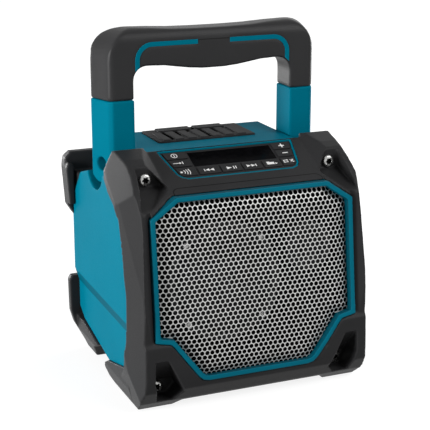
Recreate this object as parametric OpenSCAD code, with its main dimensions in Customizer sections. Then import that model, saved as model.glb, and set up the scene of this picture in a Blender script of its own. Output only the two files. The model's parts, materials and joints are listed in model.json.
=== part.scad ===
// Rugged free-standing speaker with a swinging loop handle, sloping key panel and rear battery door.
// Millimetres. X to the right, Y to the back, Z up. The base rests on Z = 0 and X = 0 is the middle.

/* [Shell] */
// half width of the coloured shell
shell_half = 107; // [104:0.5:109]
// half width of the raised deck tower
tower_half = 72.5; // [70:0.5:72.5]
// height of the deck
deck_z = 206; // [204:0.5:207]
// shell wall thickness
wall = 3; // [2.5:0.25:3.5]
// back face of the shell
rear_y = 87; // [85:0.5:87.5]

/* [Front] */
// half width of the black guard at its widest
guard_half = 111; // [110:0.5:113]
// lean of the grille
front_tilt = 6.2; // [5.5:0.1:6.8]
// visible width of the grille border
border = 4.8; // [4:0.2:5.6]
// how far the border stands proud of the guard
bead_proud = 3.2; // [2:0.2:4]
// thickness of the grille sheet
grille_t = 1.2; // [0.8:0.1:1.6]
// rise of the middle of the grille sheet
grille_crown = 4.6; // [3:0.2:5]

/* [Drivers] */
// woofer flange radius
woofer_r = 51; // [49:0.5:52]
// woofer centre across
woofer_x = -24; // [-28:1:-20]
// tweeter flange radius
tweeter_r = 21; // [19:0.5:22]
// tweeter centre across
tweeter_x = 56; // [53:1:59]

/* [Keys] */
// lean of the key panel
panel_tilt = 24; // [23:0.5:25]
// gap between a key and its hole
key_gap = 0.35; // [0.3:0.05:0.5]
// push-in travel of a key
key_travel = 1; // [0.6:0.1:1.2]
// height of the keys above the panel
key_proud = 0.9; // [0.6:0.1:1.2]

/* [Handle] */
// pivot height
pivot_z = 193; // [191:0.5:194]
// pivot distance from the middle, front to back
pivot_y = 19; // [17:0.5:21]
// diameter of the pivot screw shank
pivot_d = 8; // [7:0.25:9]
// radial running clearance on the shank
pivot_clear = 0.05; // [0.03:0.01:0.08]
// depth of the handle, front to back
handle_depth = 29; // [27:0.5:30]
// top of the handle
handle_top = 310; // [305:0.5:316]

/* [Battery door] */
// half width of the door
door_half = 60; // [57:0.5:61]
// door plate thickness
door_t = 3.5; // [3:0.25:3.75]
// hinge pin diameter
door_pin_d = 3; // [2.5:0.25:3.5]
// radial running clearance on the hinge pin
pin_clear = 0.05; // [0.03:0.01:0.08]

/* [Hidden] */
$fn = 48;

teal = [0.0, 0.47, 0.58];
black = [0.16, 0.16, 0.17];
steel = [0.75, 0.75, 0.74];
board_green = [0.1, 0.35, 0.2];

// Small helpers

function unit(v) = v / norm(v);

// the same outline moved inwards by d, for points listed anticlockwise
function inset(p, d) = [for (i = [0 : len(p) - 1])
    let (a = p[(i + len(p) - 1) % len(p)],
        b = p[i],
        c = p[(i + 1) % len(p)],
        u = unit(b - a),
        v = unit(c - b),
        m = [-u[1], u[0]],
        n = [-v[1], v[0]])
    b + (m + n) * d / (1 + m * n)];

function back_to_front(p) = [for (i = [len(p) - 1 : -1 : 0]) p[i]];
function flipped(p) = [for (q = p) [-q[0], q[1]]];
// a right half, listed from the bottom up, closed with its mirror image
function both_sides(p) = concat(p, back_to_front(flipped(p)));
function arc(cx, cy, r, a0, a1, n) = [for (i = [0 : n])
    let (a = a0 + (a1 - a0) * i / n) [cx + r * cos(a), cy + r * sin(a)]];

// a side-view shape, drawn in Y and Z, carried across X
module across(x0, x1) {
    translate([x0, 0, 0])
        rotate([90, 0, 90])
            linear_extrude(x1 - x0)
                children();
}

// a front-view shape, drawn in X and Z, carried along Y
module along(y0, y1) {
    translate([0, y1, 0])
        rotate([90, 0, 0])
            linear_extrude(y1 - y0)
                children();
}

module pair() {
    children();
    mirror([1, 0, 0])
        children();
}

module block(lo, hi) {
    translate(lo)
        cube(hi - lo);
}

// a rod along Y
module rod_y(x, z, y0, y1, r) {
    translate([x, y0, z])
        rotate([-90, 0, 0])
            cylinder(r = r, h = y1 - y0);
}

// a rod along X
module rod_x(y, z, x0, x1, r) {
    translate([x0, y, z])
        rotate([0, 90, 0])
            cylinder(r = r, h = x1 - x0);
}

// Shared frames

front_y = -96.5;
panel_y = -55;
panel_z = 190.9;

// grille frame: X across, Y inwards from the grille face, Z up the face
module front_plane() {
    translate([0, front_y, 0])
        rotate([-front_tilt, 0, 0])
            children();
}

// key panel frame: X across, Y up the slope, Z out of the face
module panel_plane() {
    translate([0, panel_y, panel_z])
        rotate([panel_tilt, 0, 0])
            children();
}

// driver frames: Z inwards
module at_driver(x, z) {
    front_plane()
        translate([x, 0, z])
            rotate([-90, 0, 0])
                children();
}

woofer_z = 107;
tweeter_z = 128;

module at_woofer() {
    at_driver(woofer_x, woofer_z)
        children();
}

module at_tweeter() {
    at_driver(tweeter_x, tweeter_z)
        children();
}

// Shell

rim_y = -61;
base_z = 12;
shell_profile = [[rim_y, base_z], [-30, base_z], [0, 16], [73, 31], [rear_y, 40], [rear_y, 146],
    [61.5, 176.5],
    [36, 184], [-18, 190], [-36, 182], [-51, 168], [-59.5, 140], [-66, 52], [rim_y, 40]];
tower_front = -16.8;
tower_back = 70;
tower_profile = [[tower_front, 170], [80, 150], [76, 172], [tower_back, deck_z], [tower_front, deck_z]];
eye_pocket_r = 22;
boss_in = tower_half - 16.5;
pad_half = 46;
pad_front = 19;
pad_back = 66;
pad_sink = 2;
door_z0 = 46;
door_z1 = 114;
bay_half = 48;
bay_z0 = 54;
bay_z1 = 106;
socket_x = shell_half - 25;
socket_z = 88;
socket_half = 11;
socket_tall = 15;
upper_screw = [guard_half - 26, 193];
lower_screw = [guard_half - 26, 17.5];
upper_seat_y = -48;
lower_seat_y = -69;
bezel_screw_r = 2;
boss_r = 5.5;
bumper_screw_at = [[shell_half - 11, 128], [shell_half - 14, 50]];
upper_head_y = 88.5;
lower_head_y = 91;

module shell_envelope(grow = 0) {
    across(-shell_half - grow, shell_half + grow)
        polygon(shell_profile);
}

step_in = 3.6;
step_z = 74.9;
step_tall = 11.5;
step_slope = 1.6;

// chamfered step low on each side
module side_step(grow = 0) {
    pair()
        translate([0, 0, step_z])
            rotate([step_slope, 0, 0])
                along(-100, 110)
                    polygon([[shell_half - step_in + grow, -100], [shell_half + 5, -100],
                        [shell_half + 5, step_tall / step_in],
                        [shell_half + grow + 1, step_tall / step_in],
                        [shell_half - step_in + grow, -step_tall]]);
}

module shell_skin(grow = 0) {
    difference() {
        shell_envelope(grow);
        side_step(grow);
    }
}

module housing_solid() {
    shell_envelope();
    across(-tower_half, tower_half)
        polygon(tower_profile);
}

module housing_inside() {
    difference() {
        across(-shell_half + wall, shell_half - wall) {
            polygon(inset(shell_profile, wall));
            // open front
            polygon([[-80, base_z + wall], [-40, base_z + wall], [-40, 165], [-80, 165]]);
        }
        // wall behind the stepped sides
        pair()
            across(shell_half - step_in - wall, shell_half + 1)
                polygon([[-100, 0], [100, 0], [100, 82], [-100, 76]]);
    }
    across(-tower_half + wall, tower_half - wall)
        polygon([[tower_front + wall, 160], [70, 160], [tower_back - wall, deck_z - wall - pad_sink],
            [tower_front + wall, deck_z - wall - pad_sink]]);
}

module housing() {
    color(teal)
    difference() {
        union() {
            difference() {
                housing_solid();
                housing_inside();
            }
            // lining of the round handle pockets
            intersection() {
                shell_envelope();
                pair()
                    rod_x(pivot_y, pivot_z, tower_half - wall, shell_half, eye_pocket_r + wall);
            }
            // pivot bosses
            pair()
                rod_x(pivot_y, pivot_z, boss_in, tower_half - 1, 9);
            // screw bosses for the front guard
            pair() {
                rod_y(upper_screw[0], upper_screw[1], upper_seat_y + 5, -18.2, boss_r);
                rod_y(lower_screw[0], lower_screw[1] + 0.5, rim_y, -38, boss_r);
            }
            // screw bosses for the rear guards
            pair()
                for (p = bumper_screw_at)
                    rod_y(p[0], p[1], rear_y - 16, rear_y, 5);
        }
        pair()
            rod_x(pivot_y, pivot_z, tower_half, 130, eye_pocket_r);
        pair()
            rod_x(pivot_y, pivot_z, boss_in - 1, tower_half + 5, pivot_d / 2 - 1);
        pair() {
            rod_y(upper_screw[0], upper_screw[1], -60, -20, bezel_screw_r);
            rod_y(lower_screw[0], lower_screw[1], -80, -44, bezel_screw_r);
        }
        pair()
            for (p = bumper_screw_at)
                rod_y(p[0], p[1], rear_y - 13, rear_y + 1, 2);
        side_step();
        // seat of the deck pad
        block([-pad_half - 0.2, pad_front - 0.2, deck_z - pad_sink],
            [pad_half + 0.2, pad_back + 0.2, deck_z + 5]);
        // battery opening, sockets
        block([-bay_half, rear_y - wall - 1, bay_z0], [bay_half, rear_y + 1, bay_z1]);
        block([socket_x - socket_half + 2, rear_y - wall - 1, socket_z - socket_tall + 2],
            [socket_x + socket_half - 2, rear_y + 1, socket_z + socket_tall - 2]);
    }
}

// Front guard

grille_head = 185.2;
grille_outline = both_sides([[46.1, 26], [51.5, 27.25], [55.7, 30.75], [79.4, 62], [93.2, 65.1],
    [92.7, 168.8], [69, grille_head]]);
// wider than the window behind the guard, but not over the brow
cavity_outline = [for (p = inset(grille_outline, -1.5)) [p[0], min(p[1], grille_head)]];
guard_front = -95;
guard_profile = [[-20, 0], [-73, 0], [-84, 9], [-93.5, 22], [guard_front, 32], [-94.2, 61], [-91.6, 65],
    [-93, 90],
    [-91, 115], [-86.6, 145], [-80, 171], [-73, 183], [-65, 192], [-56, 199.5], [-46, 205], [-37, 208],
    [-18, 212.4], [-14, 211.6], [-10, 194], [-13, 187], [-22, 180.5], [-40.6, 171.3], [-49.7, 161.4],
    [-54.5, 142.2], [-58.7, 113.4], [-62, 100], [-63, 68.8], [-62, 57], [-57.5, 41], [-54, 31],
    [-46, 22.6], [-30, 12], [-22, 4]];
guard_outline = both_sides([[65.5, 6.2], [71.5, 0], [103, 0], [105, 10], [109, 32], [guard_half, 61.5],
    [guard_half - 1.8, 63.8], [guard_half - 0.4, 110], [guard_half, 160], [guard_half - 1.5, 185],
    [guard_half - 2.7, 194], [102.5, 212], [100, 215]]);
// plan of the guard in the leaning frame of the grille
guard_plan = [[10 - guard_half, -12], [guard_half - 10, -12], [guard_half, 36], [guard_half, 110],
    [-guard_half, 110], [-guard_half, 36]];
skid_profile = [[-60, 0], [-10, 0], [1, 1.6], [11, 8], [6, 13.9], [-3.4, 18.9], [-24, 23.4], [-44, 28.3],
    [-60, 32]];
skid_half = shell_half - 0.6;
panel_foot = 52;
panel_head = 63.4;
panel_long = 40.2;
panel_outline = both_sides([[panel_foot - 4, 0], [panel_foot + 1, 2], [panel_foot + 4.6, 7],
    [panel_head, panel_long]]);
hood_n = 1.6;
brow_half = 69;

module upper_pocket() {
    intersection() {
        along(-120, upper_seat_y)
            polygon([[guard_half - 41, 187.8], [guard_half - 14, 169], [guard_half - 12.5, 174],
                [guard_half - 19.4, 216], [guard_half - 27, 216], [guard_half - 28.5, 203]]);
        across(guard_half - 61, guard_half - 1)
            polygon([[-120, 172], [-79, 173], [upper_seat_y, 187], [upper_seat_y, 220], [-120, 220]]);
    }
}

module lower_pocket() {
    intersection() {
        along(-120, lower_seat_y)
            polygon([[guard_half - 35, 10], [guard_half - 21, 10.5], [guard_half - 16.5, 30],
                [guard_half - 17.3, 49.5], [guard_half - 28, 49.5], [guard_half - 43, 19]]);
        across(40, 130)
            polygon([[-130, 78], [guard_front, 51], [lower_seat_y, 24], [lower_seat_y + 1, 0], [-130, 0]]);
    }
}

// low runners that reach back under the shell
module skids() {
    pair()
        intersection() {
            across(88, skid_half)
                polygon(skid_profile);
            along(-70, 20)
                polygon([[88, 0], [103, 0], [skid_half, 14], [skid_half, 40], [88, 40]]);
        }
}

// everything outside a slanted plane through p: a is its flare to the back, b its lean inwards with height
module flank_cut(p, a, b) {
    translate(p)
        rotate([0, 0, -atan(a)])
            rotate([0, -atan(b * cos(atan(a))), 0])
                block([0, -150, -150], [60, 150, 150]);
}

module front_bezel() {
    color(black)
    difference() {
        union() {
            intersection() {
                across(-120, 120)
                    polygon(guard_profile);
                along(-100, 0)
                    polygon(guard_outline);
                front_plane()
                    translate([0, 0, -20])
                        linear_extrude(270)
                            polygon(guard_plan);
            }
            skids();
            // brow between the grille and the key panel
            across(-brow_half, brow_half)
                polygon([[-79, 172], [-76, 184], [-66, 188.5], [-60, 172]]);
        }
        // grille window and the well behind it
        front_plane() {
            along(-30, 3)
                polygon(grille_outline);
            along(2, 75)
                polygon(cavity_outline);
            // bevel from the border out to the guard edge
            pair()
                translate([0, 0, 66])
                    linear_extrude(140)
                        polygon([[91, 1], [91, -30], [130, -30], [130, -26.3], [93.2, 0]]);
        }
        shell_skin(0.1);
        pair() {
            flank_cut([guard_half - 11.2, -80, 171], 0.33, 0.09);
            flank_cut([guard_half - 10.2, -65, 192], 0.16, 0.357);
        }
        // room for the deck tower
        block([-tower_half - 1, tower_front - 1.2, 150], [tower_half + 1, 10, 220]);
        // hood face, banked up to the corner ridges
        panel_plane()
            translate([0, -40, hood_n])
                rotate([-90, 0, 0])
                    linear_extrude(110)
                        polygon([[-72, 0], [72, 0], [95, -15], [95, -40], [-95, -40], [-95, -15]]);
        // seat and opening of the key panel
        panel_plane() {
            translate([0, 0, -3.2])
                linear_extrude(20)
                    polygon(inset(panel_outline, -0.15));
            translate([0, 0, -20])
                linear_extrude(20)
                    polygon(inset(panel_outline, 2.1));
        }
        // hollow under the hood
        across(-66, 66)
            polygon([[-62, 160], [-62, 183], [-10, 205.6], [-10, 160]]);
        pair() {
            upper_pocket();
            lower_pocket();
            rod_y(upper_screw[0], upper_screw[1], upper_seat_y + 4.8, -10, boss_r + 0.1);
            rod_y(upper_screw[0], upper_screw[1], -60, -30, bezel_screw_r + 0.2);
            rod_y(lower_screw[0], lower_screw[1], -80, -50, bezel_screw_r + 0.2);
        }
    }
}

module bezel_screw(x, z, seat) {
    difference() {
        union() {
            rod_y(x, z, seat - 3, seat, 5.4);
            rod_y(x, z, seat - 0.5, seat + 18, bezel_screw_r - 0.05);
        }
        // six-lobed drive
        for (a = [0, 60, 120])
            translate([x, seat - 3, z])
                rotate([0, a, 0])
                    block([-2.6, -1, -0.8], [2.6, 2, 0.8]);
    }
}

module bezel_screws() {
    color(steel)
    pair() {
        bezel_screw(upper_screw[0], upper_screw[1], upper_seat_y);
        bezel_screw(lower_screw[0], lower_screw[1], lower_seat_y);
    }
}

// Grille, baffle and drivers

sheet_y = 4.4;
sheet_lap = 3.6;
crown_run = 14;
baffle_y = 14;
baffle_t = 5;
frame_outline = inset(cavity_outline, 0.15);

module grille_frame() {
    color(teal)
    difference() {
        front_plane()
            difference() {
                union() {
                    along(-bead_proud, 3)
                        polygon(inset(grille_outline, 0.15));
                    along(2.05, baffle_y)
                        polygon(frame_outline);
                }
                along(-bead_proud - 1, baffle_y + 1)
                    polygon(inset(grille_outline, border));
                // rebate for the sheet
                along(sheet_y, baffle_y + 1)
                    polygon(inset(grille_outline, border - sheet_lap - 0.1));
            }
        // low down the border ends level with the guard
        block([-150, guard_front - 50, 0], [150, guard_front, 220]);
    }
}

// all in front of a plane that rises from the line a to b towards the middle of the sheet
module rise_cut(a, b) {
    translate([a[0], sheet_y, a[1]])
        rotate([0, -atan2(b[1] - a[1], b[0] - a[0]), 0])
            rotate([atan(grille_crown / crown_run), 0, 0])
                block([-300, -40, -300], [300, 0, 300]);
}

// the sheet and all behind it, down to a depth
module sheet_body(back) {
    foot = inset(grille_outline, border + 0.3);
    along(sheet_y + back, sheet_y + back + 4)
        polygon(inset(grille_outline, border - sheet_lap - back));
    translate([0, back, 0])
        difference() {
            along(sheet_y - grille_crown, sheet_y + 1)
                polygon(inset(grille_outline, border));
            // one slope from each long side
            for (i = [2, 4, 5, 6, 7, 8, 10, 13])
                rise_cut(foot[i], foot[(i + 1) % len(foot)]);
        }
}

module grille() {
    color(steel)
    front_plane()
        difference() {
            sheet_body(0);
            sheet_body(grille_t);
        }
}

module baffle() {
    color(black)
    difference() {
        front_plane()
            difference() {
                along(baffle_y, baffle_y + baffle_t)
                    polygon(frame_outline);
                rod_y(tweeter_x, tweeter_z, baffle_y - 1, baffle_y + baffle_t + 1, tweeter_r - 3.8);
                rod_y(woofer_x, woofer_z, baffle_y - 1, baffle_y + baffle_t + 1, woofer_r - 5.8);
            }
        at_woofer()
            woofer_holes(1.6);
    }
}

module woofer_holes(r) {
    for (a = [45 : 90 : 315])
        rotate([0, 0, a])
            translate([woofer_r - 2.8, 0, 0])
                cylinder(r = r, h = 40);
}

cone_r = woofer_r - 13;
coil_r = 13;
cap_r = 34.2;
flange_z = baffle_y - 3;
basket_back = flange_z + 31;

module woofer_basket() {
    color(black)
    at_woofer()
        difference() {
            rotate_extrude()
                polygon([[woofer_r - 7, flange_z], [woofer_r, flange_z], [woofer_r, baffle_y],
                    [woofer_r - 6, baffle_y], [woofer_r - 6, baffle_y + 7], [34, basket_back - 2],
                    [34, basket_back], [17, basket_back], [17, basket_back - 1.8], [32, basket_back - 1.8],
                    [woofer_r - 7.6, baffle_y + 6]]);
            woofer_holes(1.6);
            // open windows between the legs
            for (a = [0 : 60 : 300])
                rotate([0, 0, a])
                    block([27, -10, baffle_y + 9], [60, 10, basket_back - 6]);
        }
}

module woofer_magnet() {
    color(steel)
    at_woofer()
        difference() {
            translate([0, 0, basket_back])
                cylinder(r = 36, h = 22);
            translate([0, 0, basket_back - 1])
                difference() {
                    cylinder(r = coil_r + 0.9, h = 17);
                    translate([0, 0, -1])
                        cylinder(r = coil_r - 1.2, h = 20);
                }
        }
}

module woofer_screws() {
    color(steel)
    at_woofer()
        for (a = [45 : 90 : 315])
            rotate([0, 0, a])
                translate([woofer_r - 2.8, 0, flange_z - 1.6]) {
                    cylinder(r = 2.5, h = 1.6);
                    cylinder(r = 1.55, h = 9);
                }
}

module woofer_cone() {
    color(black)
    at_woofer()
        rotate_extrude()
            polygon([[cone_r, flange_z], [cone_r + 1, flange_z], [cone_r + 1, flange_z + 1],
                [coil_r + 1, flange_z + 20], [coil_r, flange_z + 20], [coil_r, flange_z + 19],
                [cone_r - 0.6, flange_z + 0.6]]);
}

module voice_coil() {
    color([0.7, 0.4, 0.2])
    at_woofer()
        rotate_extrude()
            translate([coil_r - 0.5, flange_z + 20])
                square([0.8, 19]);
}

module dust_cap() {
    color(black)
    at_woofer()
        rotate_extrude()
            polygon(concat(arc(0, flange_z + 44.2, cap_r, -58.6, -90, 6),
                arc(0, flange_z + 44.2, cap_r - 0.8, -90, -58.6, 6)));
}

module woofer_surround() {
    color([0.1, 0.1, 0.1])
    at_woofer()
        rotate_extrude()
            translate([(cone_r + woofer_r - 6) / 2, flange_z - 0.1])
                difference() {
                    circle(r = (woofer_r - 6 - cone_r) / 2 - 0.6);
                    circle(r = (woofer_r - 6 - cone_r) / 2 - 1.4);
                    translate([-20, 0])
                        square([40, 20]);
                }
}

module woofer_spider() {
    color([0.75, 0.6, 0.35])
    at_woofer()
        rotate_extrude()
            translate([0, flange_z + 24])
                polygon([[coil_r + 0.8, 0], [18, 1.4], [21, 0], [24, 1.4], [27, 0], [32.5, 1.4], [32.5, 2.2],
                    [27, 0.8], [24, 2.2], [21, 0.8], [18, 2.2], [coil_r + 0.8, 0.8]]);
}

module tweeter_body() {
    color(black)
    at_tweeter()
        difference() {
            union() {
                translate([0, 0, flange_z])
                    cylinder(r = tweeter_r, h = baffle_y - flange_z);
                translate([0, 0, baffle_y - 1])
                    cylinder(r = tweeter_r - 4, h = 17);
            }
            translate([0, 0, flange_z - 1])
                cylinder(r1 = tweeter_r - 4, r2 = 10, h = 3.6);
        }
}

module tweeter_dome() {
    color([0.3, 0.3, 0.32])
    at_tweeter()
        rotate_extrude()
            translate([0, flange_z + 2.6])
                polygon(concat([[0, 0]], arc(0, 5, 10.4, -29, -90, 6)));
}

// Key panel

panel_t = 2;
trim_w = 1.6;
trim_proud = 0.9;
plate_outline = inset(panel_outline, trim_w + 0.1);
board_n = -8.2;
flange_lap = 0.75;
key_stop = 0.3;
key_margin = trim_w + 1.7;
display_lo = [-37, 16.6];
display_hi = [40, 36];

// keys: name, low corner and high corner up the slope
key_rows = [
    [[-62, 28.2], [-39, 37.2]],
    [[-60, 17.6], [-39, 26.2]],
    [[-58, 5], [-38, 15.4]],
    [[-36, 5], [-17, 14.6]],
    [[-15, 5], [3, 14.6]],
    [[5, 5], [22, 14.6]],
    [[24, 5], [40, 14.6]],
    [[42, 5], [58, 15.4]],
    [[42, 28.2], [62, 37.2]],
    [[42, 17.6], [60, 26.2]]];

// a key: its rectangle, cut parallel to the slanted panel edge
module key_shape(i, grow) {
    intersection() {
        translate(key_rows[i][0] - [grow, grow])
            square(key_rows[i][1] - key_rows[i][0] + [2 * grow, 2 * grow]);
        polygon(inset(panel_outline, key_margin - grow));
    }
}

module panel_trim() {
    color(teal)
    panel_plane()
        difference() {
            translate([0, 0, -3])
                linear_extrude(3 + trim_proud)
                    polygon(panel_outline);
            translate([0, 0, -4])
                linear_extrude(10)
                    polygon(inset(panel_outline, trim_w));
        }
}

module control_panel() {
    color(black)
    panel_plane()
        difference() {
            union() {
                translate([0, 0, -panel_t])
                    linear_extrude(panel_t)
                        polygon(plate_outline);
                // posts that carry the key board
                for (p = [[-37, 3.05], [41, 3.05], [-20, 37], [20, 37]])
                    translate([p[0], p[1], board_n])
                        cylinder(r = 0.8, h = -board_n - 1, $fn = 16);
            }
            for (i = [0 : len(key_rows) - 1])
                translate([0, 0, -10])
                    linear_extrude(20)
                        key_shape(i, key_gap);
            translate([display_lo[0], display_lo[1], -10])
                cube([display_hi[0] - display_lo[0], display_hi[1] - display_lo[1], 20]);
        }
}

module display_window() {
    color([0.03, 0.03, 0.04])
    panel_plane()
        translate([display_lo[0] + 0.1, display_lo[1] + 0.1, -1.3])
            cube([display_hi[0] - display_lo[0] - 0.2, display_hi[1] - display_lo[1] - 0.2, 1.2]);
}

module display_module() {
    color([0.2, 0.22, 0.2])
    panel_plane()
        translate([display_lo[0] + 1, display_lo[1] + 1.6, board_n])
            cube([display_hi[0] - display_lo[0] - 2, display_hi[1] - display_lo[1] - 2.6, -1.3 - board_n]);
}

module key_board() {
    color(board_green)
    panel_plane() {
        translate([0, 0, board_n - 1.6])
            linear_extrude(1.6)
                polygon(both_sides([[44, 1.4], [52.6, 8], [56.6, 35.4]]));
        for (k = key_rows)
            translate([(k[0][0] + k[1][0]) / 2, (k[0][1] + k[1][1]) / 2, board_n])
                cylinder(r = 2.2, h = 1.2, $fn = 20);
    }
}

module key(i) {
    k = key_rows[i];
    color([0.2, 0.2, 0.21])
    panel_plane() {
        translate([0, 0, -panel_t - key_stop - 0.2])
            linear_extrude(panel_t + key_stop + 0.2 + key_proud)
                key_shape(i, 0);
        translate([0, 0, -panel_t - key_stop - 1.3])
            linear_extrude(1.3)
                key_shape(i, flange_lap);
        translate([(k[0][0] + k[1][0]) / 2, (k[0][1] + k[1][1]) / 2, board_n + 1.2 + key_travel + 0.3])
            cylinder(r = 1.6, h = -board_n - 1.5 - key_travel - panel_t - key_stop - 0.5, $fn = 20);
    }
}

module key_power() { key(0); }
module key_source() { key(1); }
module key_pairing() { key(2); }
module key_previous() { key(3); }
module key_play() { key(4); }
module key_next() { key(5); }
module key_folder() { key(6); }
module key_repeat() { key(7); }
module key_plus() { key(8); }
module key_minus() { key(9); }

// Deck pad

pad_top = deck_z + 1.4;

module top_pad() {
    color(black) {
        block([-pad_half, pad_front, deck_z - pad_sink], [pad_half, pad_back, pad_top]);
        for (i = [0 : 6])
            block([-pad_half + 4 + 12 * i, pad_front + 1.5, pad_top - 0.5],
                [-pad_half + 12 + 12 * i, pad_back - 15, pad_top + 1]);
        for (x = [[-34, -2], [2, 30]])
            block([x[0], pad_back - 13, pad_top - 0.5], [x[1], pad_back - 1, pad_top + 1.4]);
    }
}

// Handle

handle_front = pivot_y - handle_depth / 2 + 0.5;
handle_back = handle_front + handle_depth;
handle_in = tower_half + 1.3;
handle_mid = (handle_front + handle_back) / 2;
upright_top = handle_top - 61;
grip_t = 3.5;
handle_plan = [[handle_in, handle_front], [handle_in + 19.7, handle_front],
    [handle_in + 22.7, handle_front + 2.5],
    [handle_in + 30.8, handle_back - 3], [handle_in + 29.2, handle_back], [handle_in, handle_back]];
loop_out = concat([[handle_in + 32, upright_top]], arc(handle_in + 4, handle_top - 28, 28, 0, 90, 8),
    [[58, handle_top - 0.9], [38, handle_top - 2.3], [15, handle_top - 2.9]]);
loop_in = concat([[handle_in, upright_top]], arc(handle_in - 12, handle_top - 44.5, 12, 0, 86, 7),
    [[46, handle_top - 33], [34, handle_top - 34.9], [22, handle_top - 36.6], [10, handle_top - 37.6]]);
loop_outline = concat(loop_out, back_to_front(flipped(loop_out)), flipped(loop_in), back_to_front(loop_in));
counterbore_r = 5.9;
seat_x = handle_in + 14.2;
head_x = seat_x + 0.4;

// rounded side view of the grip
grip_side = [[handle_front, upright_top - 1], [handle_back, upright_top - 1], [handle_back, handle_top - 9],
    [handle_back - 1.4, handle_top - 4.6], [handle_back - 4.5, handle_top - 1.6],
    [handle_back - 9, handle_top],
    [handle_front + 10.5, handle_top], [handle_front + 6, handle_top - 1.4],
    [handle_front + 2.7, handle_top - 4], [handle_front + 0.7, handle_top - 7.4],
    [handle_front, handle_top - 11]];

module handle_sides() {
    pair()
        translate([0, 0, 100])
            linear_extrude(handle_top - 90)
                polygon(handle_plan);
}

side_slant = atan(8.1 / (handle_depth - 5.5));
corner_r = 26;

// all inside the right outer edge, swept along the slanted side
module grip_flank() {
    translate([handle_in + 22.7, handle_front + 2.5, 0])
        rotate([0, 0, -side_slant])
            along(-90, 130)
                polygon(concat([[0, pivot_z]], arc(-corner_r, handle_top - corner_r, corner_r, 0, 90, 8),
                    [[-corner_r, handle_top + 5], [-300, handle_top + 5], [-300, pivot_z]]));
}

// the whole grip, as a solid
module grip_solid() {
    intersection() {
        grip_flank();
        mirror([1, 0, 0])
            grip_flank();
        along(handle_front, handle_back)
            polygon(loop_outline);
        across(-150, 150)
            polygon(grip_side);
        union() {
            handle_sides();
            block([-handle_in - 1, handle_front, upright_top - 50],
                [handle_in + 1, handle_back, handle_top + 5]);
        }
    }
}

core_in = handle_in + grip_t;
core_out = handle_in + 23.2;

// the frame inside the grip
module grip_core() {
    intersection() {
        along(handle_front + grip_t, handle_back - grip_t)
            polygon(concat(
                [[core_out, upright_top - 1], [core_out, handle_top - 22], [core_out - 13, handle_top - 8],
                    [30, handle_top - 10], [-30, handle_top - 10], [-core_out + 13, handle_top - 8],
                    [-core_out, handle_top - 22], [-core_out, upright_top - 1]],
                [[-core_in, upright_top - 1], [-core_in, handle_top - 36], [-core_in + 12, handle_top - 26],
                    [core_in - 12, handle_top - 26], [core_in, handle_top - 36],
                    [core_in, upright_top - 1]]));
        union() {
            block([-core_out + 7, handle_front, upright_top - 50], [core_out - 7, handle_back, handle_top]);
            pair()
                translate([0, 0, upright_top - 50])
                    linear_extrude(handle_top - upright_top + 60)
                        polygon([[handle_in, handle_front + grip_t], [core_out - 6, handle_front + grip_t],
                            [core_out + 1, handle_back - grip_t], [handle_in, handle_back - grip_t]]);
        }
    }
}

module handle_frame() {
    color(teal)
    difference() {
        union() {
            intersection() {
                handle_sides();
                across(-150, 150)
                    union() {
                        translate([handle_front, pivot_z - 3])
                            square([handle_depth, upright_top - pivot_z + 3]);
                        translate([handle_mid, pivot_z - 3])
                            circle(r = handle_depth / 2);
                    }
            }
            grip_core();
        }
        pair() {
            rod_x(pivot_y, pivot_z, 60, 130, pivot_d / 2 + pivot_clear);
            rod_x(pivot_y, pivot_z, seat_x, 130, counterbore_r);
        }
    }
}

stripe_w = 4;
stripe_r = 15.4;
stripe_x = handle_in - 16.8;
stripe_z = handle_top - 27.4;

// band along the grip that turns down at the inner corner
module stripe_shape(grow) {
    pair()
        polygon(concat([[15 - grow, stripe_z + stripe_r + grow]],
            back_to_front(arc(stripe_x, stripe_z, stripe_r + grow, 0, 90, 8)),
            [[stripe_x + stripe_r + grow, handle_top - 36.5 - grow],
                [stripe_x + stripe_r - stripe_w - grow, handle_top - 33 - grow]],
            arc(stripe_x, stripe_z, stripe_r - stripe_w - grow, 0, 90, 8),
            [[15 - grow, stripe_z + stripe_r - stripe_w - grow]]));
}

module grip_cover() {
    color(black)
    difference() {
        grip_solid();
        grip_core();
        block([-150, handle_front - 1, pivot_z], [150, handle_back + 1, upright_top]);
        along(handle_front - 1, handle_front + 1.2)
            stripe_shape(0.05);
    }
}

module grip_stripes() {
    color(teal)
    along(handle_front, handle_front + 1.15)
        stripe_shape(0);
}

module pivot_screws() {
    color(steel)
    pair()
        difference() {
            union() {
                rod_x(pivot_y, pivot_z, tower_half, head_x + 1, pivot_d / 2);
                rod_x(pivot_y, pivot_z, boss_in + 2, tower_half + 1, pivot_d / 2 - 1.05);
                rod_x(pivot_y, pivot_z, head_x, head_x + 3.6, counterbore_r - 0.5);
            }
            translate([head_x + 1.6, pivot_y, pivot_z])
                rotate([0, 90, 0])
                    cylinder(r = 2.9, h = 4, $fn = 6);
        }
}

module pivot_washers() {
    color(steel)
    pair()
        difference() {
            rod_x(pivot_y, pivot_z, tower_half, handle_in - 0.4, 10);
            rod_x(pivot_y, pivot_z, tower_half - 1, handle_in + 1, pivot_d / 2 + 0.02);
        }
}

// Rear guards

guard_back = 95;
bar_y = 84;
leg_front = 77;

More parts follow.
